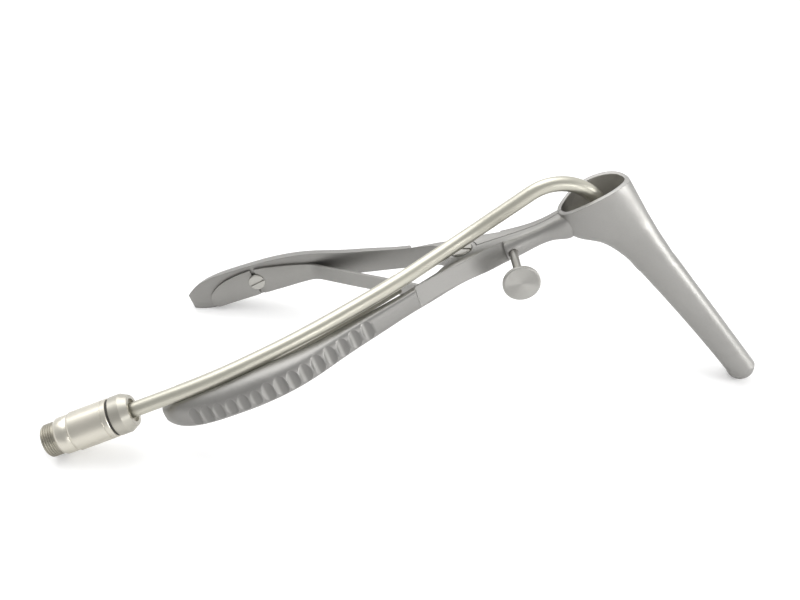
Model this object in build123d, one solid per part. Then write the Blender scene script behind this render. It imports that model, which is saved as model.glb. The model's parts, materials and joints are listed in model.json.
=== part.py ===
from build123d import *
import copy
import math
import os

# Nasal speculum with a fibre light guide.
# Instrument frame while modelling, in millimetres: X runs from the pivot to the blades,
# Y from the near lever to the far lever, Z up along the pivot axis.
# The last section turns everything to the way the instrument lies on a table.

# Handles
handle_length = 85.4        # pivot axis to the end of a grip
grip_spread = 27.5          # middle plane to the flat inner face of a grip
grip_thickness = 6.4
grip_height = 9.2
neck_thickness = 2.5
neck_height = 5.8
groove_count = 15
groove_pitch = 0.04 * handle_length
groove_first = 0.323 * handle_length    # distance of the first groove behind the pivot
groove_radius = 2.1
groove_depth = 0.55
grip_rise = 0.9             # how much further the grip reaches above the middle plane
section_overlap = 1.5

# Lap joint
lug_top = 3.8               # top face of the joint above the middle plane
lug_bottom = 3.0
lap_height = 0.4            # height at which the two lugs lie on each other
lug_radius = 4.1
lug_clearance = 0.2
lap_clearance = 0.04
lug_half_width = 7.8        # pivot axis to the milled outer side
flat_turn = 16.5            # turn of the milled side in plan
flat_lean = 16.0            # lean of the milled side, wider at the bottom
flat_rear = 14.0            # ends of the milled side behind and before the pivot
flat_front = 11.3
parting_gap = 0.2           # gap between the two shanks when closed

# Pivot screw
pivot_shaft_radius = 1.6
pivot_head_radius = 3.0
pivot_head_height = 1.1
pivot_head_proud = 0.45
pivot_running_fit = 0.05
slot_width = 0.7
slot_depth = 0.6

# Shanks, funnel and blades
shank_length = 28.0         # pivot axis to the back of the funnel
shank_thickness = 3.6
funnel_reach = 47.6         # pivot axis to the front of the funnel
funnel_top = 9.35
funnel_back_top = 5.75      # height of the rim where it leaves the shank
funnel_half_width = 6.95
blade_drop = 66.5           # middle plane down to the blade tip
blade_tip_reach = 68.8      # pivot axis to the front of the tip
blade_tip_width = 8.2
blade_root = -19.3          # height at which the blade becomes straight
blade_root_back = 43.7      # pivot axis to the blade's back and front there
blade_root_front = 54.4
blade_root_depth = 4.4
wall = 1.1

# Leaf spring on the far handle
leaf_thickness = 0.8
leaf_foot_start = 0.925 * handle_length     # distance of the foot's end behind the pivot
leaf_bend = 0.527 * handle_length           # distance of the bend behind the pivot
leaf_bend_top = 1.5         # edges of the strip at the bend, above and below the middle plane
leaf_bend_bottom = 3.7
leaf_tip_top = 2.5
leaf_tip_bottom = 2.0
leaf_tip_x = -12.9
leaf_tip_y = -8.5
leaf_bend_gap = 0.12
spring_screw_x = 0.739 * handle_length
spring_screw_head_radius = 2.5
spring_screw_shaft_radius = 1.1
spring_screw_head_height = 0.75
spring_screw_length = 4.2
spring_screw_recess = 0.25

# Light guide
tube_radius = 2.0
tube_wall = 0.35
bundle_clearance = 0.05
tube_seat_clearance = 0.03  # between the tube and its channel in the near grip
tube_height = 6.7           # tube axis above the middle plane, along the handle
tube_middle = -0.7          # side offset of the tube over the shanks
tube_rear_slope = 0.082     # slope in plan of the run into the connector
tube_rise = 0.32            # slope of the run that rises from the pivot
tube_bend_x = 34.8          # corner over the funnel
tube_end_lean = 0.28        # lean of the run into the funnel
tube_bend_radius = 12.8
tube_corner_radii = [110.0, 140.0, 150.0, 30.0, tube_bend_radius]
tube_end_depth = 3.0        # how far the tube's end lies below the middle plane

# Carrier strip
strip_thickness = 0.8
strip_below_axis = 4.7
strip_above_axis = 0.75
strip_rear = 0.919 * handle_length
strip_front = 18.0

# Connector, measured from the face of the cap backwards along its axis
connector_radius = 5.15
cap_length = 4.9
cap_face_radius = 4.1
cap_chamfer = 2.0
cap_recess_radius = 3.1
cap_recess_depth = 0.8
cap_grip = 1.6              # length of tube held in the cap
seal_width = 0.6
seal_radius = 4.8
body_length = 10.8
collar_radius = 4.85
collar_length = 4.0
thread_radius = 4.35
thread_length = 3.6
connector_bore_radius = 3.0
inlet_radius = 2.4
connector_start = -1.054 * handle_length    # X of the cap's face

# Thumb screw
thumb_x = 13.0
thumb_z = 0.6
thumb_shaft_radius = 1.15
thumb_head_radius = 4.85
thumb_head_thickness = 1.1
thumb_head_reach = 20.4     # middle plane to the outer face of the head
thumb_tip_gap = 0.3         # screw tip to the far shank
thumb_fit = 0.04


# Cutters reach this far past everything they cut
beyond = 60


def inner_face_points():
    """Plan points of the flat inner face of the far handle."""
    rows = [
        (-1.02, 0.985),
        (-0.90, 1.005),
        (-0.78, 1.0),
        (-0.66, 0.965),
        (-0.53, 0.885),
        (-0.41, 0.715),
        (-0.29, 0.548),
        (-0.185, 0.400),
        (-0.09, 0.265),
    ]
    return [(handle_length * u, grip_spread * v) for u, v in rows]


def inner_face_curve():
    return Spline(*[Vector(x, y, 0) for x, y in inner_face_points()])


def lever_section(x, inner, outer, low, high, shoulder):
    """D-shaped section across the far lever: flat towards the parting plane, crowned outside."""
    thickness = outer - inner
    middle = (low + high) / 2
    half = (high - low) / 2
    start = inner - section_overlap
    crown = Spline(
        (start, high),
        (inner + 0.15 * thickness, high - 0.02 * half),
        (inner + 0.70 * thickness, middle + shoulder * half),
        (inner + thickness, middle - 0.05 * half),
        (inner + 0.66 * thickness, middle - 0.78 * half),
        (inner + 0.15 * thickness, low + 0.02 * half),
        (start, low),
        tangents=[(1, 0), (-1, 0)],
    )
    flat = Line((start, low), (start, high))
    plane = Plane(origin=(x, 0, 0), x_dir=(0, 1, 0), z_dir=(1, 0, 0))
    return plane * make_face([flat, crown])


def grip_rows():
    """Far handle from the grip's end to the neck: x, inner, outer, low, high, shoulder."""
    thick = grip_thickness - neck_thickness
    tall = grip_height - neck_height
    rows = [
        (-0.990, 0.986, -0.33, -0.48, 0.74),
        (-0.978, 0.990, -0.05, -0.10, 0.74),
        (-0.950, 0.995, 0.37, 0.50, 0.74),
        (-0.90, 1.005, 0.72, 0.94, 0.74),
        (-0.79, 1.000, 1.00, 1.00, 0.74),
        (-0.68, 0.975, 0.97, 0.98, 0.74),
        (-0.54, 0.895, 0.70, 0.65, 0.78),
        (-0.41, 0.715, 0.36, 0.34, 0.86),
        (-0.29, 0.548, 0.12, 0.17, 0.93),
        (-0.20, 0.421, 0.0, 0.05, 0.95),
    ]
    out = []
    for u, v, t, h, shoulder in rows:
        inner = grip_spread * v
        low = -(neck_height + tall * h) / 2
        high = -low + grip_rise * (neck_height + tall * h) / grip_height
        out.append((handle_length * u, inner, inner + neck_thickness + thick * t, low, high, shoulder))
    return out


def joint_rows():
    """Far lever from the joint along the shank: x, inner, outer, low, high, shoulder."""
    base = parting_gap / 2
    reach = shank_length
    wide = lug_half_width
    thin = shank_thickness
    low = -lug_bottom
    return [
        (-0.357 * reach, 1.05 * wide, 1.41 * wide, low, 0.98 * lug_top, 0.95),
        (-0.179 * reach, 0.51 * wide, 1.244 * wide, low, lug_top, 0.95),
        (0, base, 1.103 * wide, low, lug_top, 0.95),
        (0.179 * reach, base, 0.936 * wide, low, lug_top, 0.95),
        (0.357 * reach, base, 0.731 * wide, 0.9 * low, lug_top, 0.93),
        (0.536 * reach, base, 1.25 * thin, 0.77 * low, lug_top, 0.9),
        (0.732 * reach, base, 1.03 * thin, 0.5 * low, 1.05 * lug_top, 0.88),
        (0.893 * reach, base, thin, 0.57 * low, 1.24 * lug_top, 0.86),
        (1.054 * reach, base, 1.055 * thin, 0.77 * low, 0.92 * funnel_back_top, 0.84),
    ]


def inner_side_cutter():
    """Everything on the inner side of the far lever, from the grip to the shank's end."""
    curve = inner_face_curve()
    start = curve @ 0
    end = curve @ 1
    base = parting_gap / 2
    reach = 2 * grip_spread
    lug_side = Polyline(
        (end.X, end.Y),
        (-lug_radius * 1.32, lug_radius * 1.24),
        (-lug_radius * 0.83, lug_radius * 0.57),
        (0, base),
        (funnel_reach, base),
        (funnel_reach, -reach),
        (start.X, -reach),
        (start.X, start.Y),
    )
    return extrude(make_face([curve, lug_side]), amount=grip_height, both=True)


def outer_flat_cutter():
    """Space outside the milled flat on the far lever's side of the joint."""
    lean = Rot(0, 0, -flat_turn) * Rot(flat_lean, 0, 0)
    block = Pos(0, beyond / 2, 0) * Box(beyond, beyond, beyond)
    window = Pos((flat_front - flat_rear) / 2, 0, 0) * Box(flat_front + flat_rear, 2 * beyond, beyond)
    return window & (Pos(0, lug_half_width - 0.6, 0) * lean * block)


def grip_grooves():
    """Scallops across the outer face of the far grip."""
    cutters = []
    for i in range(groove_count):
        x = -(groove_first + i * groove_pitch)
        y = outer_y(x) + groove_radius - groove_depth
        cutters.append(Pos(x, y, 0) * Cylinder(groove_radius, 2 * grip_height))
    return cutters


def outer_y(x):
    """Side distance of the crown of the grip at x, between its sections."""
    rows = grip_rows()
    for (x0, _, y0, *_), (x1, _, y1, *_) in zip(rows, rows[1:]):
        if x <= x1:
            return y0 + (y1 - y0) * (x - x0) / (x1 - x0)
    return rows[-1][2]


def half_oval(z, back, front, depth, squareness):
    """Half of a rounded outline across the blade at height z, flat on the parting plane."""
    middle = (back + front) / 2
    half = (front - back) / 2
    base = parting_gap / 2
    points = []
    for angle in (0, 7, 17, 30, 48, 69, 90, 111, 132, 150, 163, 173, 180):
        c = math.cos(math.radians(angle))
        s = math.sin(math.radians(angle))
        x = math.copysign(abs(c) ** (2 / squareness), c)
        points.append((middle + half * x, base + depth * max(s, 0) ** (2 / squareness)))
    crown = Spline(*points)
    flat = Line(points[-1], points[0])
    return Pos(0, 0, z) * make_face([crown, flat])


def funnel_rows():
    """Outer sections from above the rim to the straight blade: z, back, front, depth."""
    back = shank_length - 0.6
    front = funnel_reach
    sweep_back = blade_root_back - back
    sweep_front = blade_root_front - front
    shares = [
        (-0.676, 0.0, -0.176, 1.007),
        (-0.484, 0.0, -0.059, 1.0),
        (-0.311, 0.0, 0.059, 0.95),
        (-0.130, 0.006, 0.162, 0.88),
        (0.0415, 0.055, 0.265, 0.815),
        (0.166, 0.196, 0.338, 0.765),
        (0.290, 0.442, 0.426, 0.725),
        (0.466, 0.650, 0.544, 0.69),
        (0.648, 0.798, 0.691, 0.665),
        (0.829, 0.908, 0.838, 0.65),
    ]
    rows = [
        (blade_root * z, back + sweep_back * b, front + sweep_front * f, funnel_half_width * d)
        for z, b, f, d in shares
    ]
    return rows + [(blade_root, blade_root_back, blade_root_front, blade_root_depth)]


def blade_rows():
    """Outer sections of the straight blade down to the middle of its round tip."""
    z, back, front, depth = funnel_rows()[-1]
    tip_z = -blade_drop + blade_tip_width / 2
    tip_back = blade_tip_reach - blade_tip_width
    middle_z = (z + tip_z) / 2
    middle_back = (back + tip_back) / 2 + 0.4
    middle_front = (front + blade_tip_reach) / 2
    tip_depth = blade_tip_width / 2
    return [
        (z, back, front, depth),
        (middle_z, middle_back, middle_front, (depth + tip_depth) / 2),
        (tip_z, tip_back, blade_tip_reach, tip_depth),
    ]


def squareness_at(z):
    """How square the sections are: oval at the rim, fuller sides along the blade."""
    share = (funnel_top - z) / (funnel_top - blade_root)
    return 2.0 + 0.5 * min(max(share, 0), 1)


def blade_blank():
    """Outer form of the far funnel half and blade."""
    funnel = loft([half_oval(*row, squareness_at(row[0])) for row in funnel_rows()])
    rows = blade_rows()
    blade = loft([half_oval(*row, 2.5 if row is not rows[-1] else 2.2) for row in rows])
    tip_z, tip_back, tip_front, tip_radius = rows[-1]
    middle = (tip_back + tip_front) / 2
    ball = Pos(middle, parting_gap / 2, tip_z) * Sphere(tip_radius)
    keep = Pos(middle, parting_gap / 2 + tip_radius, tip_z) * Box(
        3 * tip_radius, 2 * tip_radius, 2 * tip_radius, align=(Align.CENTER, Align.CENTER, Align.MAX)
    )
    return funnel + blade + (ball & keep)


def blade_cavity():
    """Hollow between the two funnel halves and blades, on the far side."""
    backs = [0.9, 0.9, 1.0, 2.2, 4.0, 4.2, 2.9, 2.1, 1.7, 1.4, 1.2]
    drop = Pos(0, -parting_gap, 0)
    ovals = []
    for (z, back, front, depth), inset in zip(funnel_rows(), backs):
        section = half_oval(z, back + inset, front - wall, depth - wall, squareness_at(z))
        ovals.append(drop * section)
    funnel = loft(ovals)
    rows = blade_rows()
    end_z = rows[-1][0] + blade_tip_width * 0.45
    share = (end_z - rows[0][0]) / (rows[-1][0] - rows[0][0])
    end_back = rows[0][1] + (rows[-1][1] - rows[0][1]) * share + 0.3
    end_front = rows[0][2] + (rows[-1][2] - rows[0][2]) * share
    inner_rows = [rows[0], rows[1], (end_z, end_back, end_front, rows[-1][3])]
    blade = loft([
        drop * half_oval(z, back + 1.2, front - wall, depth - wall, 2.5)
        for z, back, front, depth in inner_rows
    ])
    return funnel + blade


def above_rim_cutter():
    """Everything above the funnel's slanted rim."""
    back = shank_length - 1.2
    rise = funnel_top - funnel_back_top
    rim = Spline(
        (back, funnel_back_top),
        (back + 2.4, funnel_back_top + rise * 0.13),
        (back + 5.4, funnel_back_top + rise * 0.47),
        (back + 8.4, funnel_back_top + rise * 0.72),
        (back + 12.0, funnel_back_top + rise * 0.91),
        (back + 16.0, funnel_top),
        (back + 18.8, funnel_top - 0.15),
        (back + 20.4, funnel_top - 0.8),
        (back + 21.6, funnel_top - 2.0),
    )
    end = rim @ 1
    over = funnel_top + beyond
    ahead = end.X + funnel_half_width
    sides = Polyline(
        (end.X, end.Y),
        (ahead, end.Y - funnel_half_width / 2),
        (ahead, over),
        (back, over),
        (back, funnel_back_top),
    )
    return extrude(Plane.XZ * make_face([rim, sides]), amount=4 * funnel_half_width, both=True)


def lug_disc(low, high, radius):
    height = high - low
    return Pos(0, 0, (low + high) / 2) * Cylinder(radius, height)


def lever_blank():
    """Far lever without its lap joint."""
    body = loft([lever_section(*row) for row in grip_rows() + joint_rows()])
    body = body - inner_side_cutter() - outer_flat_cutter()
    form = body + blade_blank() - above_rim_cutter() - blade_cavity()
    for cutter in grip_grooves():
        form = form - cutter
    return form


def make_far_lever(blank):
    lap = lap_height - lap_clearance / 2
    lever = blank + lug_disc(-lug_bottom, lap, lug_radius)
    lever = lever - lug_disc(lap, beyond, lug_radius + lug_clearance)
    lever = lever - Cylinder(pivot_shaft_radius, beyond)
    return lever - spring_screw_hole()


def make_near_lever(blank):
    lap = lap_height + lap_clearance / 2
    lever = mirror(blank, about=Plane.XZ)
    lever = lever + lug_disc(lap, lug_top, lug_radius)
    lever = lever - lug_disc(-beyond, lap, lug_radius + lug_clearance)
    lever = lever - Cylinder(pivot_shaft_radius + pivot_running_fit, beyond)
    seat = lug_top - pivot_head_height + pivot_head_proud
    lever = lever - lug_disc(seat, beyond, pivot_head_radius + pivot_running_fit)
    lever = lever - thumb_axis(thumb_shaft_radius + thumb_fit, -2 * lug_half_width, 0)
    return lever - swept_rod(tube_path(), tube_radius + tube_seat_clearance)


def make_pivot_screw():
    seat = lug_top - pivot_head_height + pivot_head_proud + 0.02
    shaft = lug_disc(-lug_bottom, seat, pivot_shaft_radius)
    head = lug_disc(seat, lug_top + pivot_head_proud, pivot_head_radius)
    head = fillet(head.edges().group_by(Axis.Z)[-1], 0.3)
    slot = Pos(0, 0, lug_top + pivot_head_proud) * Box(beyond, slot_width, 2 * slot_depth)
    return shaft + (head - Rot(0, 0, -35) * slot)


def make_leaf_foot():
    """Flat part of the leaf spring, face to face with the far grip."""
    curve = inner_face_curve()
    moved = Pos(0, -leaf_thickness, 0) * curve
    side_a = Line(curve @ 0, moved @ 0)
    side_b = Line(curve @ 1, moved @ 1)
    band = extrude(make_face([curve, side_b, moved, side_a]), amount=grip_height, both=True)
    half = grip_height / 2
    bend_x = -leaf_bend - leaf_bend_gap
    end_x = -leaf_foot_start
    crown = Spline(
        (end_x, -half * 0.55),
        (end_x + 1.0, 0.3),
        (end_x + 6.3, half * 0.68),
        (end_x + 16.0, half * 0.90),
        (end_x + 26.0, half * 0.60),
        (bend_x, leaf_bend_top),
    )
    sides = Polyline(
        (bend_x, leaf_bend_top),
        (bend_x, -leaf_bend_bottom),
        (end_x + 22.0, -half * 0.94),
        (end_x + 3.0, -half * 0.94),
        (end_x, -half * 0.55),
    )
    outline = [crown, sides]
    window = extrude(Plane.XZ * make_face(outline), amount=beyond, both=True)
    foot = band & window
    seat = Pos(0, 0, -spring_screw_recess)
    seat = seat * Cylinder(spring_screw_head_radius + 0.15, 4 * leaf_thickness, align=(Align.CENTER, Align.CENTER, Align.MIN))
    return foot - spring_screw_hole() - spring_screw_frame() * seat


def spring_screw_frame():
    """Place on the foot's inner face where the spring's screw sits."""
    curve = inner_face_curve()
    spot = curve.closest_points(Vector(-spring_screw_x, grip_spread, 0))[0]
    return Pos(-spring_screw_x, spot.Y - leaf_thickness, 0) * Rot(90, 0, 0)


def spring_screw_hole():
    depth = spring_screw_recess + spring_screw_length + 0.05
    hole = Cylinder(spring_screw_shaft_radius + 0.01, depth + leaf_thickness)
    return spring_screw_frame() * Pos(0, 0, (leaf_thickness - depth) / 2) * hole


def make_spring_screw():
    base = -spring_screw_recess
    head = Pos(0, 0, base) * Cylinder(
        spring_screw_head_radius, spring_screw_head_height, align=(Align.CENTER, Align.CENTER, Align.MIN)
    )
    top_edges = head.edges().group_by(Axis.Z)[-1]
    head = fillet(top_edges, spring_screw_head_height * 0.35)
    slot = Pos(0, 0, base + spring_screw_head_height) * Rot(0, 0, 8)
    slot = slot * Box(4 * spring_screw_head_radius, slot_width, spring_screw_head_height)
    shaft = Pos(0, 0, base - spring_screw_length / 2)
    shaft = shaft * Cylinder(spring_screw_shaft_radius, spring_screw_length)
    return spring_screw_frame() * (head - slot + shaft)


def leaf_bend_point():
    curve = inner_face_curve()
    k = curve.param_at_point(curve.closest_points(Vector(-leaf_bend, grip_spread * 0.87, 0))[0])
    spot = curve @ k
    return Vector(spot.X, spot.Y - leaf_thickness / 2, 0)


def make_leaf_arm():
    """Free arm of the leaf spring, from the bend to the near neck."""
    bend = leaf_bend_point()
    tip = Vector(leaf_tip_x, leaf_tip_y, 0)
    along = tip - bend
    length = along.length
    angle = math.degrees(math.atan2(along.Y, along.X))
    half = leaf_thickness / 2
    side = Polyline(
        (leaf_bend_gap, -leaf_bend_bottom),
        (leaf_bend_gap, leaf_bend_top),
        (length * 0.3, leaf_bend_top + 0.1),
        (length, leaf_tip_top),
        (length, -leaf_tip_bottom),
        (length * 0.4, -leaf_bend_bottom + 0.5),
        (leaf_bend_gap, -leaf_bend_bottom),
    )
    arm = extrude(Plane.XZ * make_face(side), amount=half, both=True)
    return Pos(bend.X, bend.Y, 0) * Rot(0, 0, angle) * arm


def tube_points():
    """Corners of the light guide's axis, from the connector to the funnel."""
    rear = Vector(-0.796 * handle_length, -1.044 * grip_spread, tube_height)
    start_x = connector_start - cap_recess_depth - cap_grip
    start_y = rear.Y + tube_rear_slope * (start_x - rear.X)
    bend_z = tube_height + tube_rise * tube_bend_x
    end_x = tube_bend_x + (bend_z + tube_end_depth) * tube_end_lean
    return [
        Vector(start_x, start_y, tube_height),
        rear,
        Vector(-0.515 * handle_length, -0.8145 * grip_spread, tube_height),
        Vector(-0.234 * handle_length, -0.44 * grip_spread, tube_height),
        Vector(0, tube_middle, tube_height),
        Vector(tube_bend_x, tube_middle, bend_z),
        Vector(end_x, tube_middle, -tube_end_depth),
    ]


def tube_path():
    return FilletPolyline(*tube_points(), radius=tube_corner_radii)


def swept_rod(path, radius):
    start = path @ 0
    profile = Plane(origin=start, z_dir=path % 0) * Circle(radius)
    return sweep(profile, path=path)


def make_guide_tube():
    path = tube_path()
    return swept_rod(path, tube_radius) - swept_rod(path, tube_radius - tube_wall)


def make_fibre_bundle():
    return swept_rod(tube_path(), tube_radius - tube_wall - bundle_clearance)


def shifted(points, distance):
    """Plan points moved sideways to the left of their direction by a distance."""
    moved = []
    for i, p in enumerate(points):
        before = (p - points[i - 1]).normalized() if i else (points[1] - p).normalized()
        after = (points[i + 1] - p).normalized() if i + 1 < len(points) else before
        middle = (before + after).normalized()
        normal = Vector(-middle.Y, middle.X, 0)
        stretch = distance / middle.dot(before)
        moved.append(p + normal * stretch)
    return moved


def make_carrier_strip():
    """Upright strip along the inner side of the tube over the near handle."""
    corners = [Vector(p.X, p.Y, 0) for p in tube_points()[:5]]
    near = shifted(corners, tube_radius)
    far = shifted(corners, tube_radius + strip_thickness)
    radii = tube_corner_radii[:3]
    curve_a = FilletPolyline(*near, radius=radii)
    curve_b = FilletPolyline(*far, radius=radii)
    start = Line(curve_a @ 0, curve_b @ 0)
    end = Line(curve_a @ 1, curve_b @ 1)
    band = extrude(make_face([curve_a, end, curve_b, start]), amount=beyond, both=True)
    length = strip_rear - strip_front
    height = strip_below_axis + strip_above_axis
    x = -(strip_rear + strip_front) / 2
    z = tube_height + (strip_above_axis - strip_below_axis) / 2
    return band & (Pos(x, 0, z) * Box(length, 2 * beyond, height))


def connector_frame():
    """Local frame at the cap's face, its Z pointing back along the connector."""
    points = tube_points()
    back = (points[0] - points[1]).normalized()
    face = points[1] + back * ((points[1].X - connector_start) / -back.X)
    return Plane(origin=face, x_dir=(0, 0, 1), z_dir=back)


def turned(outline):
    """Ring or rod turned about the connector's axis from (distance, radius) points."""
    points = [(radius, 0, distance) for distance, radius in outline]
    profile = make_face(Polyline(*points, close=True))
    return connector_frame() * revolve(profile, Axis.Z)


def make_connector_cap():
    end = cap_length
    return turned([
        (cap_recess_depth, tube_radius + 0.01),
        (cap_recess_depth, cap_recess_radius),
        (0, cap_recess_radius),
        (0, cap_face_radius),
        (cap_chamfer, connector_radius),
        (end - 0.2, connector_radius),
        (end, connector_radius - 0.2),
        (end, connector_bore_radius),
        (cap_recess_depth + cap_grip, connector_bore_radius),
        (cap_recess_depth + cap_grip, tube_radius + 0.01),
    ])


def make_seal_ring():
    start = cap_length
    end = start + seal_width
    return turned([
        (start, connector_bore_radius + 0.6),
        (start, seal_radius),
        (end, seal_radius),
        (end, connector_bore_radius + 0.6),
    ])


def make_connector_body():
    start = cap_length + seal_width
    end = start + body_length
    line = 0.12
    return turned([
        (start, connector_bore_radius),
        (start, connector_radius - 0.15),
        (start + 0.15, connector_radius),
        (start + 1.2, connector_radius),
        (start + 1.2, connector_radius - line),
        (start + 1.4, connector_radius - line),
        (start + 1.4, connector_radius),
        (end - 0.5, connector_radius),
        (end, connector_radius - 0.3),
        (end, connector_bore_radius),
    ])


def make_threaded_end():
    start = cap_length + seal_width + body_length
    collar_end = start + collar_length
    end = collar_end + thread_length
    return turned([
        (start, inlet_radius + 0.01),
        (start, collar_radius),
        (collar_end - 0.8, collar_radius),
        (collar_end, collar_radius - 0.45),
        (collar_end, thread_radius - 0.5),
        (collar_end + 0.5, thread_radius - 0.5),
        (collar_end + 0.5, thread_radius),
        (end - 0.4, thread_radius),
        (end, thread_radius - 0.4),
        (end, inlet_radius + 0.01),
    ])


def make_fibre_inlet():
    start = cap_length + seal_width + body_length - 2.0
    end = cap_length + seal_width + body_length + collar_length + thread_length - 0.4
    return turned([(start, 0), (start, inlet_radius), (end, inlet_radius), (end, 0)])


def thumb_axis(radius, from_y, to_y):
    middle = (from_y + to_y) / 2
    rod = Cylinder(radius, abs(to_y - from_y))
    return Pos(thumb_x, middle, thumb_z) * Rot(90, 0, 0) * rod


def make_thumb_shaft():
    head_inside = thumb_head_reach - thumb_head_thickness
    return thumb_axis(thumb_shaft_radius, -head_inside, parting_gap / 2 - thumb_tip_gap)


def make_thumb_head():
    head = Cylinder(thumb_head_radius, thumb_head_thickness)
    head = chamfer(head.edges(), 0.15)
    y = -thumb_head_reach + thumb_head_thickness / 2
    return Pos(thumb_x, y, thumb_z) * Rot(90, 0, 0) * head


def support_points(up):
    """Lowest points of the tip, the connector and the far grip against a direction."""
    tip_z = -blade_drop + blade_tip_width / 2
    tip_middle = Vector(blade_tip_reach - blade_tip_width / 2, 0, tip_z)
    side = Vector(up.X, 0, up.Z).normalized()
    tip = tip_middle - side * (blade_tip_width / 2)
    frame = connector_frame()
    axis = frame.z_dir
    across = (up - axis * up.dot(axis)).normalized()
    body_end = cap_length + seal_width + body_length
    collar_end = body_end + collar_length
    edges = [
        (body_end - 0.5, connector_radius),
        (collar_end - 0.8, collar_radius),
        (collar_end + thread_length - 0.4, thread_radius),
    ]
    rims = [frame.origin + axis * distance - across * radius for distance, radius in edges]
    rim = min(rims, key=lambda p: p.dot(up))
    grips = []
    for x, inner, outer, low, *_ in grip_rows()[1:6]:
        grips.append(Vector(x, inner + 0.12 * (outer - inner), low * 0.99))
    grip = min(grips, key=lambda p: p.dot(up))
    return tip, rim, grip


def table_frame():
    """Plane that the instrument rests on, X along the instrument."""
    up = Vector(0.38, -0.1, 0.92).normalized()
    for _ in range(12):
        tip, rim, grip = support_points(up)
        normal = (tip - rim).cross(grip - rim).normalized()
        up = normal if normal.Z > 0 else normal * -1
    along = Vector(1, 0, 0)
    along = (along - up * along.dot(up)).normalized()
    return Plane(origin=tip, x_dir=along, z_dir=up)


def build_parts():
    blank = lever_blank()
    return {
        "near_lever": make_near_lever(blank),
        "far_lever": make_far_lever(blank),
        "pivot_screw": make_pivot_screw(),
        "leaf_spring_foot": make_leaf_foot(),
        "leaf_spring_arm": make_leaf_arm(),
        "spring_screw": make_spring_screw(),
        "light_guide_tube": make_guide_tube(),
        "fibre_bundle": make_fibre_bundle(),
        "carrier_strip": make_carrier_strip(),
        "connector_cap": make_connector_cap(),
        "connector_seal_ring": make_seal_ring(),
        "connector_body": make_connector_body(),
        "connector_threaded_end": make_threaded_end(),
        "fibre_inlet": make_fibre_inlet(),
        "thumb_screw_shaft": make_thumb_shaft(),
        "thumb_screw_head": make_thumb_head(),
    }


def resting_place():
    """Instrument frame to the part's own frame, origin at the middle of the box's bottom."""
    table = table_frame()
    laid = {name: table.to_local_coords(shape) for name, shape in build_parts().items()}
    box = Compound(children=[copy.copy(shape) for shape in laid.values()]).bounding_box()
    shift = Pos(-(box.min.X + box.max.X) / 2, -(box.min.Y + box.max.Y) / 2, -box.min.Z)
    return table, shift, {name: shift * shape for name, shape in laid.items()}


os.makedirs("parts", exist_ok=True)
table, shift, placed = resting_place()
for name, shape in placed.items():
    export_step(shape, "parts/" + name + ".step")
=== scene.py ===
import json
import math

import bmesh
import bpy
from mathutils import Matrix, Vector


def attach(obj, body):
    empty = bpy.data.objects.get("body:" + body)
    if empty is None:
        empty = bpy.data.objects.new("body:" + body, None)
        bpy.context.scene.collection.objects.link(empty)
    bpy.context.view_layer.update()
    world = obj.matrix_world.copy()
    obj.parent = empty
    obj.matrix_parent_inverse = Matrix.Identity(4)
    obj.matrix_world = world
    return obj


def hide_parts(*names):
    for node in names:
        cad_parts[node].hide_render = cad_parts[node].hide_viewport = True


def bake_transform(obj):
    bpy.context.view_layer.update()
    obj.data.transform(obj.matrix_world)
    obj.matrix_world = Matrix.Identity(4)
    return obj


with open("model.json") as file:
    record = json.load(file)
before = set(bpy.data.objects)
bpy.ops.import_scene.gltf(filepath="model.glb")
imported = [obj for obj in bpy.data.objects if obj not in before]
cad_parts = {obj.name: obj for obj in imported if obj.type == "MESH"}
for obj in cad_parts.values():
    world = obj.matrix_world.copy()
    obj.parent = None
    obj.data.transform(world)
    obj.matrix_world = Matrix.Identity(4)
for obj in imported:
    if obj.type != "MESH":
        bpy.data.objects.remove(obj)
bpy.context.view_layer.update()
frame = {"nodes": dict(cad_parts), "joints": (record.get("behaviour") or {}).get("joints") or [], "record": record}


def namedIn(entries, name):
    return next(entry for entry in entries if entry["name"] == name)


hinge = namedIn(frame["joints"], "lever_hinge")
thumbSlide = namedIn(frame["joints"], "thumb_slide")
inletMount = namedIn(frame["record"]["mounts"], "light_inlet_thread")

# The instrument's own axes in the part's frame: X to the blades, Y to the far lever, Z up the pivot
pivotAxis = Vector(hinge["axis"])
sideAxis = -Vector(thumbSlide["axis"])
instrument = {
    "pivot": Vector(hinge["pos_m"]),
    "along": sideAxis.cross(pivotAxis),
    "across": sideAxis,
    "up": pivotAxis,
}


def spot(x, y, z):
    # A place in millimetres on the instrument's axes
    return (
        instrument["pivot"]
        + (instrument["along"] * x + instrument["across"] * y + instrument["up"] * z) / 1000
    )


def newMaterial(name):
    material = bpy.data.materials.new(name)
    material.use_nodes = True
    tree = material.node_tree
    tree.nodes.clear()
    return material, tree


def addNode(tree, kind, **settings):
    node = tree.nodes.new(kind)
    for key, value in settings.items():
        if key.startswith("in_"):
            node.inputs[key[3:].replace("_", " ")].default_value = value
        else:
            setattr(node, key, value)
    return node


def link(tree, source, target):
    tree.links.new(source, target)


def feed(tree, socket, value):
    # A number goes on the socket, an output is linked to it
    if isinstance(value, (int, float, Vector)):
        socket.default_value = value
    elif value is not None:
        link(tree, value, socket)


def mathNode(tree, operation, first, second=None):
    node = addNode(tree, "ShaderNodeMath", operation=operation)
    feed(tree, node.inputs[0], first)
    feed(tree, node.inputs[1], second)
    return node.outputs["Value"]


def vectorNode(tree, operation, first, second=None):
    node = addNode(tree, "ShaderNodeVectorMath", operation=operation)
    feed(tree, node.inputs[0], first)
    feed(tree, node.inputs[1], second)
    return node.outputs["Value" if operation in ("DOT_PRODUCT", "LENGTH") else "Vector"]


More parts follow.
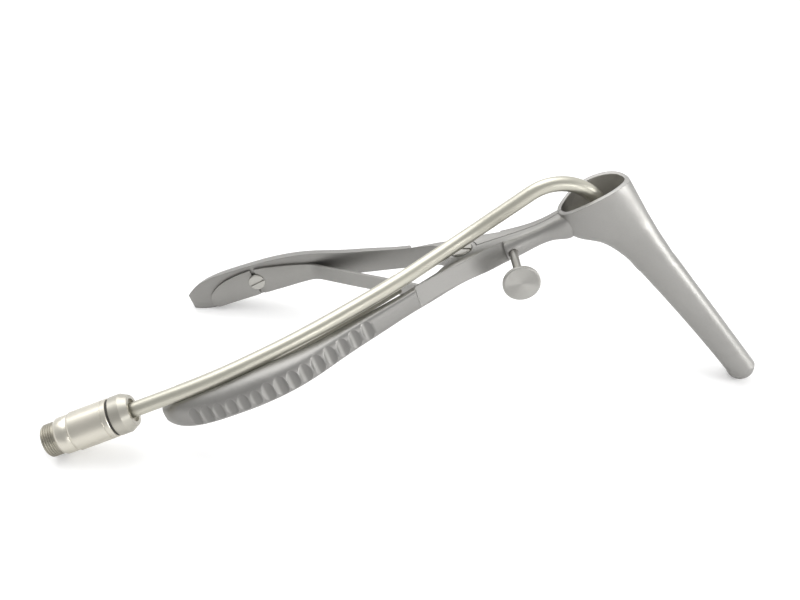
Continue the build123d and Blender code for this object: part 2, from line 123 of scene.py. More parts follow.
def scaleColor(tree, color, level):
    node = addNode(tree, "ShaderNodeVectorMath", operation="SCALE")
    feed(tree, node.inputs["Vector"], color)
    feed(tree, node.inputs["Scale"], level)
    return node.outputs["Vector"]


def smoothStep(tree, value, limits):
    node = addNode(tree, "ShaderNodeMapRange", interpolation_type="SMOOTHSTEP")
    node.inputs["From Min"].default_value, node.inputs["From Max"].default_value = limits
    link(tree, value, node.inputs["Value"])
    return node


def principledOf(material):
    return next(node for node in material.node_tree.nodes if node.type == "BSDF_PRINCIPLED")


def newGroup(name, kind, inputs, outputs):
    # A node group with named inputs and outputs, and its two end nodes
    group = bpy.data.node_groups.new(name, kind)
    for inputName, socketType, value in inputs:
        item = group.interface.new_socket(name=inputName, in_out="INPUT", socket_type=socketType)
        if value is not None:
            item.default_value = value
    for outputName, socketType in outputs:
        group.interface.new_socket(name=outputName, in_out="OUTPUT", socket_type=socketType)
    return group, addNode(group, "NodeGroupInput").outputs, addNode(group, "NodeGroupOutput").inputs


# Noise of brushed steel: what each layer weighs in the roughness, the tone and the relief
steelTexture = {
    "grain": {"in_Scale": 1.0, "in_Detail": 3.0, "in_Roughness": 0.6},
    "smudge": {"in_Detail": 4.0, "in_Roughness": 0.55, "in_Distortion": 0.6},
    "pits": {"in_Scale": 5200.0, "in_Detail": 2.0},
    "smudgeShift": 1.4,
    "grainShift": 0.9,
    "roughnessSwing": 2.0,
    "roughnessLimits": (0.04, 0.9),
    "toneSwing": 1.5,
    "grainRelief": 0.7,
    "pitRelief": 0.3,
    "reliefDepth": 0.00002,
}


def makeSteelGroup():
    # Brushed steel: grain lines along the instrument, soft smudges and fine pits
    texture = steelTexture
    group, start, end = newGroup("BrushedSteel", "ShaderNodeTree", (
        ("Tint", "NodeSocketColor", (0.6, 0.61, 0.62, 1)),
        ("Base Roughness", "NodeSocketFloat", 0.3),
        ("Roughness Spread", "NodeSocketFloat", 0.05),
        ("Grain Across", "NodeSocketFloat", 9000.0),
        ("Grain Along", "NodeSocketFloat", 260.0),
        ("Smudge Size", "NodeSocketFloat", 90.0),
        ("Tone Spread", "NodeSocketFloat", 0.10),
    ), (
        ("Color", "NodeSocketColor"),
        ("Roughness", "NodeSocketFloat"),
        ("Height", "NodeSocketFloat"),
    ))
    place = addNode(group, "ShaderNodeTexCoord")
    turn = addNode(group, "ShaderNodeMapping", vector_type="POINT")
    axes = Matrix((instrument["along"], instrument["across"], instrument["up"])).to_euler()
    turn.inputs["Rotation"].default_value = axes
    link(group, place.outputs["Object"], turn.inputs["Vector"])

    combine = addNode(group, "ShaderNodeCombineXYZ")
    link(group, start["Grain Along"], combine.inputs["X"])
    link(group, start["Grain Across"], combine.inputs["Y"])
    link(group, start["Grain Across"], combine.inputs["Z"])
    stretched = vectorNode(group, "MULTIPLY", turn.outputs["Vector"], combine.outputs["Vector"])
    grain = addNode(group, "ShaderNodeTexNoise", **texture["grain"])
    link(group, stretched, grain.inputs["Vector"])
    smudge = addNode(group, "ShaderNodeTexNoise", **texture["smudge"])
    link(group, turn.outputs["Vector"], smudge.inputs["Vector"])
    link(group, start["Smudge Size"], smudge.inputs["Scale"])
    pits = addNode(group, "ShaderNodeTexNoise", **texture["pits"])
    link(group, turn.outputs["Vector"], pits.inputs["Vector"])

    # Smudges and grain shift the roughness and the tone to both sides of their middle
    smudgeShift = mathNode(group, "SUBTRACT", smudge.outputs["Fac"], 0.5)
    grainShift = mathNode(group, "SUBTRACT", grain.outputs["Fac"], 0.5)
    shift = mathNode(
        group, "ADD",
        mathNode(group, "MULTIPLY", smudgeShift, texture["smudgeShift"]),
        mathNode(group, "MULTIPLY", grainShift, texture["grainShift"]),
    )
    roughShift = mathNode(group, "MULTIPLY", shift, start["Roughness Spread"])
    roughSwing = mathNode(group, "MULTIPLY", roughShift, texture["roughnessSwing"])
    rough = mathNode(group, "ADD", roughSwing, start["Base Roughness"])
    lowest, highest = texture["roughnessLimits"]
    clampRough = addNode(group, "ShaderNodeClamp", in_Min=lowest, in_Max=highest)
    link(group, rough, clampRough.inputs["Value"])
    link(group, clampRough.outputs["Result"], end["Roughness"])

    toneShift = mathNode(group, "MULTIPLY", shift, start["Tone Spread"])
    tone = mathNode(group, "ADD", mathNode(group, "MULTIPLY", toneShift, texture["toneSwing"]), 1.0)
    link(group, scaleColor(group, start["Tint"], tone), end["Color"])

    height = mathNode(
        group, "ADD",
        mathNode(group, "MULTIPLY", grain.outputs["Fac"], texture["grainRelief"]),
        mathNode(group, "MULTIPLY", pits.outputs["Fac"], texture["pitRelief"]),
    )
    link(group, height, end["Height"])
    return group


steelGroup = makeSteelGroup()

# Roughness from 0 to 1, lengths in metres; groupValues change the group's other inputs
steelFinishes = {
    "lever_steel": {
        "name": "LeverSteel",
        "tint": (0.325, 0.319, 0.306),
        "roughness": 0.47,
        "spread": 0.05,
        "bump": 0.30,
        "softEdge": 0.0004,
        "groupValues": {"Grain Across": 4200.0, "Grain Along": 1500.0},
    },
    "spring_steel": {
        "name": "SpringSteel",
        "tint": (0.325, 0.319, 0.304),
        "roughness": 0.38,
        "spread": 0.06,
        "bump": 0.25,
    },
    "screw_steel": {
        "name": "ScrewSteel",
        "tint": (0.46, 0.45, 0.42),
        "roughness": 0.30,
        "spread": 0.05,
        "bump": 0.14,
    },
    "tube_steel": {
        "name": "TubeSteel",
        "tint": (0.55, 0.535, 0.462),
        "roughness": 0.40,
        "spread": 0.03,
        "bump": 0.04,
        "groupValues": {"Tone Spread": 0.05},
    },
    "connector_steel": {
        "name": "ConnectorSteel",
        "tint": (0.66, 0.632, 0.555),
        "roughness": 0.36,
        "spread": 0.04,
        "bump": 0.08,
    },
    "cap_steel": {
        "name": "CapSteel",
        "tint": (0.50, 0.482, 0.425),
        "roughness": 0.40,
        "spread": 0.04,
        "bump": 0.08,
    },
    # Painted shade: a darker colour for the thread, standing in for the shade of its grooves
    "thread_painted_shade": {
        "name": "ThreadPaintedShade",
        "tint": (0.38, 0.36, 0.305),
        "roughness": 0.40,
        "spread": 0.06,
        "bump": 0.12,
    },
    "turned_face": {
        "name": "TurnedFace",
        "tint": (0.40, 0.392, 0.37),
        "roughness": 0.40,
        "spread": 0.04,
        "bump": 0.05,
    },
}


def makeSteel(name, tint, roughness, spread, bump, softEdge=0.0001, groupValues=None):
    material, tree = newMaterial(name)
    out = addNode(tree, "ShaderNodeOutputMaterial")
    shader = addNode(tree, "ShaderNodeBsdfPrincipled", in_Metallic=1.0)
    steel = addNode(tree, "ShaderNodeGroup", node_tree=steelGroup)
    steel.inputs["Tint"].default_value = (*tint, 1)
    steel.inputs["Base Roughness"].default_value = roughness
    steel.inputs["Roughness Spread"].default_value = spread
    for key, value in (groupValues or {}).items():
        steel.inputs[key].default_value = value
    link(tree, steel.outputs["Color"], shader.inputs["Base Color"])
    link(tree, steel.outputs["Roughness"], shader.inputs["Roughness"])
    soft = addNode(tree, "ShaderNodeBevel", samples=6, in_Radius=softEdge)
    relief = addNode(tree, "ShaderNodeBump", in_Strength=bump, in_Distance=steelTexture["reliefDepth"])
    link(tree, steel.outputs["Height"], relief.inputs["Height"])
    link(tree, soft.outputs["Normal"], relief.inputs["Normal"])
    link(tree, relief.outputs["Normal"], shader.inputs["Normal"])
    link(tree, shader.outputs["BSDF"], out.inputs["Surface"])
    return material


# Scallops of both grips, in millimetres behind the pivot, and where the painted shade in them ends
scallopPaintedShade = {
    "first": 27.58,
    "pitch": 3.416,
    "count": 15,
    "halfWidth": 1.1,
    "shade": 0.30,
    "fade": (0.7, 1.3),  # shares of the half width
    "lean": (0.12, 0.3),  # how far a face tips from upright
    "facing": (0.2, 0.5),  # how far a face looks outwards
}

# Painted light: brighter steel colour on the funnel's inner faces
funnelPaintedLight = {
    "reach": (28.5, 31.0),  # millimetres before the pivot
    "lift": 1.0,
    "facing": (-0.25, 0.2),  # a face that looks inwards is below 0
}


def makeLeverPaintMasks():
    # Masks for painted shade and painted light: how far a point lies inside a scallop, and how far on an inner
    # face of funnel or blade
    group, start, end = newGroup("LeverPaintMasks", "ShaderNodeTree", (
        ("First", "NodeSocketFloat", 0.0),
        ("Pitch", "NodeSocketFloat", 1.0),
        ("Last Number", "NodeSocketFloat", 1.0),
        ("Half Width", "NodeSocketFloat", 1.0),
    ), (
        ("Scallop", "NodeSocketFloat"),
        ("Hollow", "NodeSocketFloat"),
    ))

    def smooth(value, limits):
        return smoothStep(group, value, limits).outputs["Result"]

    place = addNode(group, "ShaderNodeTexCoord")
    normal = place.outputs["Normal"]
    fromPivot = vectorNode(group, "SUBTRACT", place.outputs["Object"], instrument["pivot"])

    def dot(vector, axis):
        return vectorNode(group, "DOT_PRODUCT", vector, instrument[axis])

    ahead = mathNode(group, "MULTIPLY", dot(fromPivot, "along"), 1000)
    side = mathNode(group, "SIGN", dot(fromPivot, "across"))
    facing = mathNode(group, "MULTIPLY", dot(normal, "across"), side)

    # Distance to the nearest scallop's middle, as a share of its half width
    behind = mathNode(group, "MULTIPLY", ahead, -1)
    step = mathNode(group, "DIVIDE", mathNode(group, "SUBTRACT", behind, start["First"]), start["Pitch"])
    number = mathNode(group, "MINIMUM", mathNode(group, "ROUND", step), start["Last Number"])
    number = mathNode(group, "MAXIMUM", number, 0)
    apart = mathNode(group, "ABSOLUTE", mathNode(group, "SUBTRACT", step, number))
    share = mathNode(group, "DIVIDE", mathNode(group, "MULTIPLY", apart, start["Pitch"]), start["Half Width"])
    within = mathNode(group, "SUBTRACT", 1, smooth(share, scallopPaintedShade["fade"]))

    # A scallop's wall is upright, and the grip's rounded side above it isn't
    lean = mathNode(group, "ABSOLUTE", dot(normal, "up"))
    upright = mathNode(group, "SUBTRACT", 1, smooth(lean, scallopPaintedShade["lean"]))
    outwards = smooth(facing, scallopPaintedShade["facing"])
    scallop = mathNode(group, "MULTIPLY", mathNode(group, "MULTIPLY", within, upright), outwards)
    link(group, scallop, end["Scallop"])

    # Painted light: a mask of the inner faces of funnel and blade
    inwards = mathNode(group, "SUBTRACT", 1, smooth(facing, funnelPaintedLight["facing"]))
    hollowPaintedLight = mathNode(group, "MULTIPLY", inwards, smooth(ahead, funnelPaintedLight["reach"]))
    link(group, hollowPaintedLight, end["Hollow"])
    return group


def paintLeverShadeAndLight(material):
    # Painted shade: the scallops' colour is darkened; painted light: the funnel's inside is brightened
    tree = material.node_tree
    shader = principledOf(material)
    steelColor = shader.inputs["Base Color"].links[0].from_socket
    zones = addNode(tree, "ShaderNodeGroup", node_tree=makeLeverPaintMasks())
    zones.inputs["First"].default_value = scallopPaintedShade["first"]
    zones.inputs["Pitch"].default_value = scallopPaintedShade["pitch"]
    zones.inputs["Last Number"].default_value = scallopPaintedShade["count"] - 1
    zones.inputs["Half Width"].default_value = scallopPaintedShade["halfWidth"]
    # Painted shade: the colour is darker inside the scallops
    paintedScallopShade = mathNode(tree, "MULTIPLY", zones.outputs["Scallop"], -scallopPaintedShade["shade"])
    # Painted light: the colour is brighter inside the funnel
    paintedFunnelLight = mathNode(tree, "MULTIPLY", zones.outputs["Hollow"], funnelPaintedLight["lift"])
    level = mathNode(tree, "ADD", mathNode(tree, "ADD", paintedScallopShade, 1.0), paintedFunnelLight)
    link(tree, scaleColor(tree, steelColor, level), shader.inputs["Base Color"])


# Millimetres on the instrument's axes
thumbHead = {
    "centre": (13.0, -20.4, 0.6),
    "radius": 4.85,
    "thickness": 1.1,
    "dish": 0.12,
    "faceSteps": 14,
    "hub": 0.001,
    "rimWidth": 0.5,
    "rimInset": 0.30,
    "rimDip": 0.02,
    "rimDrop": 0.13,
    "chamfer": 0.06,
    "chamferDepth": 0.08,
    "backChamfer": 0.16,
    "around": 160,
    "ridges": 84,
    "ridgeWidth": 0.20,
    "ridgeHeight": 0.10,
    "ridgeRoot": 0.04,
    "stretch": 0.85,  # of the reflections, from 0 to 1
}


def turnFace(material):
    # Turned on a lathe: reflections stretch across the fine circles round the head's axis
    tree = material.node_tree
    shader = principledOf(material)
    shader.inputs["Anisotropic"].default_value = thumbHead["stretch"]
    place = addNode(tree, "ShaderNodeTexCoord")
    spoke = vectorNode(tree, "SUBTRACT", place.outputs["Object"], spot(*thumbHead["centre"]))
    circle = vectorNode(tree, "CROSS_PRODUCT", spoke, instrument["across"])
    link(tree, circle, shader.inputs["Tangent"])


def colorRamp(tree, first, last, lastPosition=1.0):
    ramp = addNode(tree, "ShaderNodeValToRGB")
    ramp.color_ramp.elements[0].color = (*first, 1)
    ramp.color_ramp.elements[1].color = (*last, 1)
    ramp.color_ramp.elements[1].position = lastPosition
    return ramp


sealFinish = {
    "darkest": (0.020, 0.018, 0.016),
    "lightest": (0.065, 0.060, 0.052),
    "noiseScale": 1400.0,
    "noiseDetail": 3.0,
    "roughness": (0.42, 0.68),
}


def makeSeal():
    seal = sealFinish
    material, tree = newMaterial("SealBlack")
    out = addNode(tree, "ShaderNodeOutputMaterial")
    shader = addNode(tree, "ShaderNodeBsdfPrincipled", in_Metallic=0.0)
    place = addNode(tree, "ShaderNodeTexCoord")
    noise = addNode(tree, "ShaderNodeTexNoise", in_Scale=seal["noiseScale"], in_Detail=seal["noiseDetail"])
    link(tree, place.outputs["Object"], noise.inputs["Vector"])
    ramp = colorRamp(tree, seal["darkest"], seal["lightest"])
    link(tree, noise.outputs["Fac"], ramp.inputs["Fac"])
    link(tree, ramp.outputs["Color"], shader.inputs["Base Color"])
    smoothest, roughest = seal["roughness"]
    rough = addNode(tree, "ShaderNodeMapRange", in_To_Min=smoothest, in_To_Max=roughest)
    link(tree, noise.outputs["Fac"], rough.inputs["Value"])
    link(tree, rough.outputs["Result"], shader.inputs["Roughness"])
    link(tree, shader.outputs["BSDF"], out.inputs["Surface"])
    return material


fibreFinish = {
    "middle": (0.72, 0.74, 0.68),
    "edge": (0.20, 0.20, 0.18),
    "edgeAt": 0.75,
    "cellScale": 5200.0,
    "roughness": 0.12,
    "relief": 0.3,
    "reliefDepth": 0.00003,
}


def makeFibre():
    # End face of the bundle: fine round cells, light in the middle and dark towards their edges
    fibre = fibreFinish
    material, tree = newMaterial("FibreEnds")
    out = addNode(tree, "ShaderNodeOutputMaterial")
    shader = addNode(tree, "ShaderNodeBsdfPrincipled", in_Roughness=fibre["roughness"])
    place = addNode(tree, "ShaderNodeTexCoord")
    cells = addNode(tree, "ShaderNodeTexVoronoi", in_Scale=fibre["cellScale"])
    link(tree, place.outputs["Object"], cells.inputs["Vector"])
    ramp = colorRamp(tree, fibre["middle"], fibre["edge"], fibre["edgeAt"])
    link(tree, cells.outputs["Distance"], ramp.inputs["Fac"])
    link(tree, ramp.outputs["Color"], shader.inputs["Base Color"])
    relief = addNode(
        tree, "ShaderNodeBump", in_Strength=fibre["relief"], in_Distance=fibre["reliefDepth"]
    )
    link(tree, cells.outputs["Distance"], relief.inputs["Height"])
    link(tree, relief.outputs["Normal"], shader.inputs["Normal"])
    link(tree, shader.outputs["BSDF"], out.inputs["Surface"])
    return material


finishes = {slot: makeSteel(**values) for slot, values in steelFinishes.items()}
finishes["seal_black"] = makeSeal()
finishes["fibre_glass"] = makeFibre()
paintLeverShadeAndLight(finishes["lever_steel"])
turnFace(finishes["turned_face"])
print("finishes made:", len(finishes))

finishOfNode = {
    "near_lever": "lever_steel",
    "far_lever": "lever_steel",
    "pivot_screw": "screw_steel",
    "leaf_spring_foot": "spring_steel",
    "leaf_spring_arm": "spring_steel",
    "spring_screw": "screw_steel",
    "light_guide_tube": "tube_steel",
    "fibre_bundle": "fibre_glass",
    "carrier_strip": "tube_steel",
    "connector_cap": "cap_steel",
    "connector_seal_ring": "seal_black",
    "connector_body": "connector_steel",
    "connector_threaded_end": "connector_steel",
    "fibre_inlet": "fibre_glass",
    "thumb_screw_shaft": "screw_steel",
    "thumb_screw_head": "screw_steel",
}

for nodeName, finishName in finishOfNode.items():
    nodeMesh = frame["nodes"][nodeName].data
    nodeMesh.materials.clear()
    nodeMesh.materials.append(finishes[finishName])
print("CAD nodes painted:", len(finishOfNode))


def meshPiece(name, shape, finish):
    bmesh.ops.recalc_face_normals(shape, faces=shape.faces)
    mesh = bpy.data.meshes.new(name)
    shape.to_mesh(mesh)
    shape.free()
    mesh.materials.append(finishes[finish])
    for polygon in mesh.polygons:
        polygon.use_smooth = True
    piece = bpy.data.objects.new(name, mesh)
    bpy.context.scene.collection.objects.link(piece)
    return piece


def applyModifiers(piece):
    # The evaluated result becomes the piece's plain mesh
    graph = bpy.context.evaluated_depsgraph_get()
    made = bpy.data.meshes.new_from_object(piece.evaluated_get(graph))
    piece.modifiers.clear()
    piece.data = made
    return piece


# Millimetres on the instrument's axes; the edges are (X, Z) points of the strip's outline
springStrip = {
    "thickness": 0.8,
    "gap": 0.03,
    "footEnd": -79.0,
    "bendStart": -47.5,
    "bend": (-44.9, 23.81),
    "bendReach": 3.2,
    "bendPull": 0.36,  # share of the bend's length
    "tip": (-12.9, -8.5),
    "topEdge": [(-79.0, -2.5), (-78.0, 0.3), (-72.7, 3.15), (-63.0, 4.15), (-53.0, 2.8), (-45.0, 1.5),
                (-35.0, 1.6), (-12.9, 2.5)],
    "bottomEdge": [(-79.0, -2.6), (-77.6, -4.1), (-76.0, -4.35), (-57.0, -4.32), (-45.0, -3.7),
                   (-32.0, -3.2), (-12.9, -2.0)],
    "footSteps": 40,
    "footCrowding": 1.6,
    "bendSteps": 16,
    "armSteps": 24,
    "blendBefore": 1.5,
    "blendAfter": 2.6,
    "softEdge": 0.14,
    "softAngle": 40,  # degrees
}


def between(points, x):
    # Smooth value at x through (x, value) points
    for i in range(len(points) - 1):
        (x0, v0), (x1, v1) = points[i], points[i + 1]
        if x <= x1 or i == len(points) - 2:
            share = min(max((x - x0) / (x1 - x0), 0), 1)
            before = points[i - 1] if i else points[i]
            after = points[i + 2] if i + 2 < len(points) else points[i + 1]
            slope0 = (v1 - before[1]) / (x1 - before[0])
            slope1 = (after[1] - v0) / (after[0] - x0)
            span = x1 - x0
            a = share * share * (3 - 2 * share)
            b = share * (1 - share) ** 2
            c = share * share * (share - 1)
            return v0 + (v1 - v0) * a + span * (slope0 * b + slope1 * c)


def gripFace(x):
    # Side distance of the far grip's inner face, found on the CAD node itself
    lever = frame["nodes"]["far_lever"]
    found, place, _, _ = lever.ray_cast(spot(x, 0, -1.0), instrument["across"])
    if not found:
        raise RuntimeError("the far grip wasn't hit")
    return (place - instrument["pivot"]).dot(instrument["across"]) * 1000


def springPath():
    # Middle line of the strip in plan: along the grip, round the bend, straight to the tip
    strip = springStrip
    points = []
    for i in range(strip["footSteps"] + 1):
        share = (i / strip["footSteps"]) ** strip["footCrowding"]
        x = strip["footEnd"] + (strip["bendStart"] - strip["footEnd"]) * share
        points.append(Vector((x, gripFace(x) - strip["thickness"] / 2 - strip["gap"])))
    bend, tip = Vector(strip["bend"]), Vector(strip["tip"])
    along = (tip - bend).normalized()
    start = points[-1]
    before = (start - points[-2]).normalized()
    end = bend + along * strip["bendReach"]
    pull = (end - start).length * strip["bendPull"]
    for i in range(1, strip["bendSteps"] + 1):
        t = i / strip["bendSteps"]
        near, far = 3 * t * (1 - t) ** 2, 3 * t * t * (1 - t)
        points.append(
            start * (1 - t) ** 3 + (start + before * pull) * near + (end - along * pull) * far + end * t ** 3
        )
    for i in range(1, strip["armSteps"] + 1):
        points.append(end + (tip - end) * (i / strip["armSteps"]))
    return points


def makeLeafSpring():
    strip = springStrip
    path = springPath()
    half = strip["thickness"] / 2
    shape = bmesh.new()
    rings = []
    for i, place in enumerate(path):
        before = path[max(i - 1, 0)]
        after = path[min(i + 1, len(path) - 1)]
        along = (after - before).normalized()
        normal = Vector((-along.y, along.x))
        top = between(strip["topEdge"], place.x)
        bottom = between(strip["bottomEdge"], place.x)
        outer, inner = place + normal * half, place - normal * half
        rings.append([
            shape.verts.new(spot(side.x, side.y, z))
            for side, z in ((inner, bottom), (inner, top), (outer, top), (outer, bottom))
        ])
    for first, second in zip(rings, rings[1:]):
        for k in range(4):
            shape.faces.new((first[k], first[(k + 1) % 4], second[(k + 1) % 4], second[k]))
    shape.faces.new(list(reversed(rings[0])))
    shape.faces.new(rings[-1])
    piece = meshPiece("leafSpring", shape, "spring_steel")
    soft = piece.modifiers.new("SoftEdge", "BEVEL")
    soft.width = strip["softEdge"] / 1000
    soft.segments = 3
    soft.limit_method = "ANGLE"
    soft.angle_limit = math.radians(strip["softAngle"])
    soft.harden_normals = False
    applyModifiers(piece)

    # Where the strip would bend as the handles close; these two places are found but nothing uses them
    bend = Vector(strip["bend"])
    armStart = bend + (Vector(strip["tip"]) - bend).normalized() * strip["blendAfter"]
    before = spot(strip["bendStart"] + strip["blendBefore"], path[strip["footSteps"]].y, 0)
    after = spot(armStart.x, armStart.y, 0)
    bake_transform(piece)
    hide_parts("leaf_spring_foot", "leaf_spring_arm")


makeLeafSpring()
print("leaf spring made")


def axisFrame(origin, axis):
    # Origin, two directions square to the axis, and the axis
    sideways = axis.cross(Vector((0, 0, 1))).normalized()
    return origin, sideways, axis.cross(sideways).normalized(), axis


def turnedPiece(name, profile, place, around, finish, shift=None):
    # Lathe (distance, radius) points about an axis; shift moves a radius by distance and turn
    origin, right, up, axis = place
    shape = bmesh.new()
    rings = []
    for distance, radius in profile:
        ring = []
        for k in range(around):
            turn = math.tau * k / around
            r = radius + (shift(distance, turn) if shift else 0)
            out = right * math.cos(turn) + up * math.sin(turn)
            ring.append(shape.verts.new(origin + (axis * distance + out * r) / 1000))
        rings.append(ring)
    for first, second in zip(rings, rings[1:]):
        for k in range(around):
            n = (k + 1) % around
            shape.faces.new((first[k], first[n], second[n], second[k]))
    if profile[0] == profile[-1]:
        bmesh.ops.remove_doubles(shape, verts=shape.verts, dist=1e-7)
    else:
        shape.faces.new(list(reversed(rings[0])))
        shape.faces.new(rings[-1])
    return meshPiece(name, shape, finish)


# Millimetres from the cap's face along the connector; collarEdge is (distance, radius) from the collar's end
connectorEnd = {
    "mountMiddle": 22.15,  # the thread mount's place
    "start": 16.3,
    "collarEnd": 20.3,
    "end": 23.9,
    "collarRadius": 4.85,
    "collarChamfer": 0.12,
    "collarEdge": [(-0.85, 0.0), (-0.72, -0.06), (-0.04, -0.43), (0.0, -0.5)],
    "threadRadius": 4.35,
    "threadDepth": 0.32,
    "pitch": 0.62,
    "runIn": 0.35,
    "runOut": 0.3,
    "fade": 0.25,
    "flank": 1.5,
    "endChamfer": 0.15,
    "bore": 2.41,
    "steps": 56,
    "around": 128,
    "paintedShadeStart": 20.28,  # the darker thread colour, painted shade of its grooves, begins here
}


def makeThreadedEnd():
    end = connectorEnd
    depth = end["threadDepth"]
    threadStart = end["collarEnd"] + end["runIn"]
    threadEnd = end["end"] - end["runOut"]
    mean = end["threadRadius"] - depth / 2
    root = mean - depth / 2

    def thread(distance, turn):
        if not threadStart < distance < threadEnd:
            return 0
        fade = min((distance - threadStart) / end["fade"], (threadEnd - distance) / end["fade"], 1)
        phase = (distance / end["pitch"] - turn / math.tau) % 1
        ridge = 1 - abs(2 * phase - 1)
        level = min(max((ridge - 0.5) * end["flank"] + 0.5, 0), 1)
        return fade * depth * (level - 0.5)

    profile = [
        (end["start"], end["bore"]),
        (end["start"], end["collarRadius"] - end["collarChamfer"]),
        (end["start"] + end["collarChamfer"], end["collarRadius"]),
    ]
    for distance, radius in end["collarEdge"]:
        profile.append((end["collarEnd"] + distance, end["collarRadius"] + radius))
    profile += [(end["collarEnd"], root), (threadStart, root)]
    for i in range(1, end["steps"]):
        profile.append((threadStart + (threadEnd - threadStart) * i / end["steps"], mean))
    profile += [
        (threadEnd, root),
        (end["end"], root - end["endChamfer"]),
        (end["end"], end["bore"]),
        (end["start"], end["bore"]),
    ]
    direction = Vector(inletMount["axis"])
    capFace = Vector(inletMount["pos_m"]) - direction * end["mountMiddle"] / 1000
    place = axisFrame(capFace, direction)
    piece = turnedPiece("threadedEnd", profile, place, end["around"], "connector_steel", thread)
    piece.data.materials.append(finishes["thread_painted_shade"])
    # Painted shade: faces past the thread's start get the darker colour
    for polygon in piece.data.polygons:
        if (polygon.center - capFace).dot(direction) * 1000 > end["paintedShadeStart"]:
            polygon.material_index = 1
    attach(piece, "near_side")
    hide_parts("connector_threaded_end")


makeThreadedEnd()
print("threaded end made")


def makeRidgeTree():
    # Small bars standing around a circle, all alike, turned to face outwards
    tree, start, end = newGroup("RingOfRidges", "GeometryNodeTree", (
        ("Ridges", "NodeSocketInt", 60),
        ("Ring Radius", "NodeSocketFloat", 0.005),
        ("Ridge Width", "NodeSocketFloat", 0.0002),
        ("Ridge Height", "NodeSocketFloat", 0.0001),
        ("Ridge Length", "NodeSocketFloat", 0.001),
        ("Finish", "NodeSocketMaterial", None),
    ), (
        ("Geometry", "NodeSocketGeometry"),
    ))
    circle = addNode(tree, "GeometryNodeMeshCircle")
    link(tree, start["Ridges"], circle.inputs["Vertices"])
    link(tree, start["Ring Radius"], circle.inputs["Radius"])
    size = addNode(tree, "ShaderNodeCombineXYZ")
    link(tree, start["Ridge Height"], size.inputs["X"])
    link(tree, start["Ridge Width"], size.inputs["Y"])
    link(tree, start["Ridge Length"], size.inputs["Z"])
    bar = addNode(tree, "GeometryNodeMeshCube")
    link(tree, size.outputs["Vector"], bar.inputs["Size"])
    place = addNode(tree, "GeometryNodeInputPosition")
    lean = addNode(tree, "FunctionNodeAlignRotationToVector", axis="X", pivot_axis="Z")
    link(tree, place.outputs["Position"], lean.inputs["Vector"])
    copies = addNode(tree, "GeometryNodeInstanceOnPoints")
    link(tree, circle.outputs["Mesh"], copies.inputs["Points"])
    link(tree, bar.outputs["Mesh"], copies.inputs["Instance"])
    link(tree, lean.outputs["Rotation"], copies.inputs["Rotation"])
    real = addNode(tree, "GeometryNodeRealizeInstances")
    link(tree, copies.outputs["Instances"], real.inputs["Geometry"])
    coat = addNode(tree, "GeometryNodeSetMaterial")
    link(tree, real.outputs["Geometry"], coat.inputs["Geometry"])
    link(tree, start["Finish"], coat.inputs["Material"])
    link(tree, coat.outputs["Geometry"], end["Geometry"])
    return tree


def runTree(name, tree, values):
    mesh = bpy.data.meshes.new(name)
    piece = bpy.data.objects.new(name, mesh)
    bpy.context.scene.collection.objects.link(piece)
    modifier = piece.modifiers.new("Build", "NODES")
    modifier.node_group = tree
    for item in tree.interface.items_tree:
        if item.item_type == "SOCKET" and item.in_out == "INPUT":
            modifier[item.identifier] = values[item.name]
    return applyModifiers(piece)


def makeThumbHead():
    head = thumbHead
    place = axisFrame(spot(*head["centre"]), -instrument["across"])
    thick, radius = head["thickness"], head["radius"] - head["ridgeHeight"] / 2
    profile = []
    for i in range(head["faceSteps"] + 1):
        share = i / head["faceSteps"]
        profile.append((-head["dish"] * (1 - share ** 2), head["hub"] + (radius - head["rimWidth"]) * share))
    profile += [
        (-head["rimDip"], radius - head["rimInset"]),
        (-head["rimDrop"], radius - head["chamfer"]),
        (-head["rimDrop"] - head["chamferDepth"], radius),
        (-thick + head["rimDrop"], radius),
        (-thick, radius - head["backChamfer"]),
        (-thick, head["hub"]),
    ]
    disc = turnedPiece("thumbDisc", profile, place, head["around"], "turned_face")
    ring = runTree("thumbRidges", makeRidgeTree(), {
        "Ridges": head["ridges"],
        "Ring Radius": (radius - head["ridgeRoot"] / 2) / 1000,
        "Ridge Width": head["ridgeWidth"] / 1000,
        "Ridge Height": (head["ridgeHeight"] + head["ridgeRoot"]) / 1000,
        "Ridge Length": (thick - 2 * head["rimDrop"] - head["backChamfer"]) / 1000,
        "Finish": finishes["screw_steel"],
    })
    origin, right, up, axis = place
    middle = origin - axis * thick / 2000
    turn = Matrix((right, up, axis)).transposed().to_4x4()
    ring.data.transform(Matrix.Translation(middle) @ turn)
    for piece in (disc, ring):
        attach(piece, "thumb_head")
    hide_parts("thumb_screw_head")


makeThumbHead()
print("thumb screw head made")

# A level of 1 is white; only the camera sees the floor's lift, which grows from near to far
studio = {
    "floorHalf": 3.0,
    "floorColor": 0.9,
    "floorRoughness": 0.9,
    "liftNear": 0.16,
    "liftFar": 0.42,
    "liftReach": (0.3, 1.6),  # metres from the object
    "worldLevel": 0.74,
    "backdropLevel": 1.0,
    "cameraSideLevel": 0.54,
    "dimming": (-0.55, 0.45),  # Y of the direction, from camera side to backdrop
}

lamps = {
    "Key": {"place": (-0.25, 0.35, 0.75), "target": (0, 0, 0.03), "size": 0.85, "power": 4.6},
    "Stripe": {"place": (0.62, -0.2, 0.24), "target": (0.06, 0, 0.03), "size": 0.26, "power": 2.4},
    "Front": {"place": (0.25, -0.75, 0.25), "target": (0.01, 0, 0.04), "size": 0.26, "power": 1.0},
}

# Fitted to the photo; place in metres, lens in millimetres
cameraSettings = {
    "place": Vector((-0.034126, -0.22177, 0.203132)),
    "right": Vector((0.994915, -0.084949, 0.054104)),
    "up": Vector((0.011018, 0.625776, 0.779925)),
    "back": Vector((-0.100111, -0.775363, 0.62353)),
    "lens": 46.75,
    "sensor": 36.0,
    "clip": (0.01, 20),
}


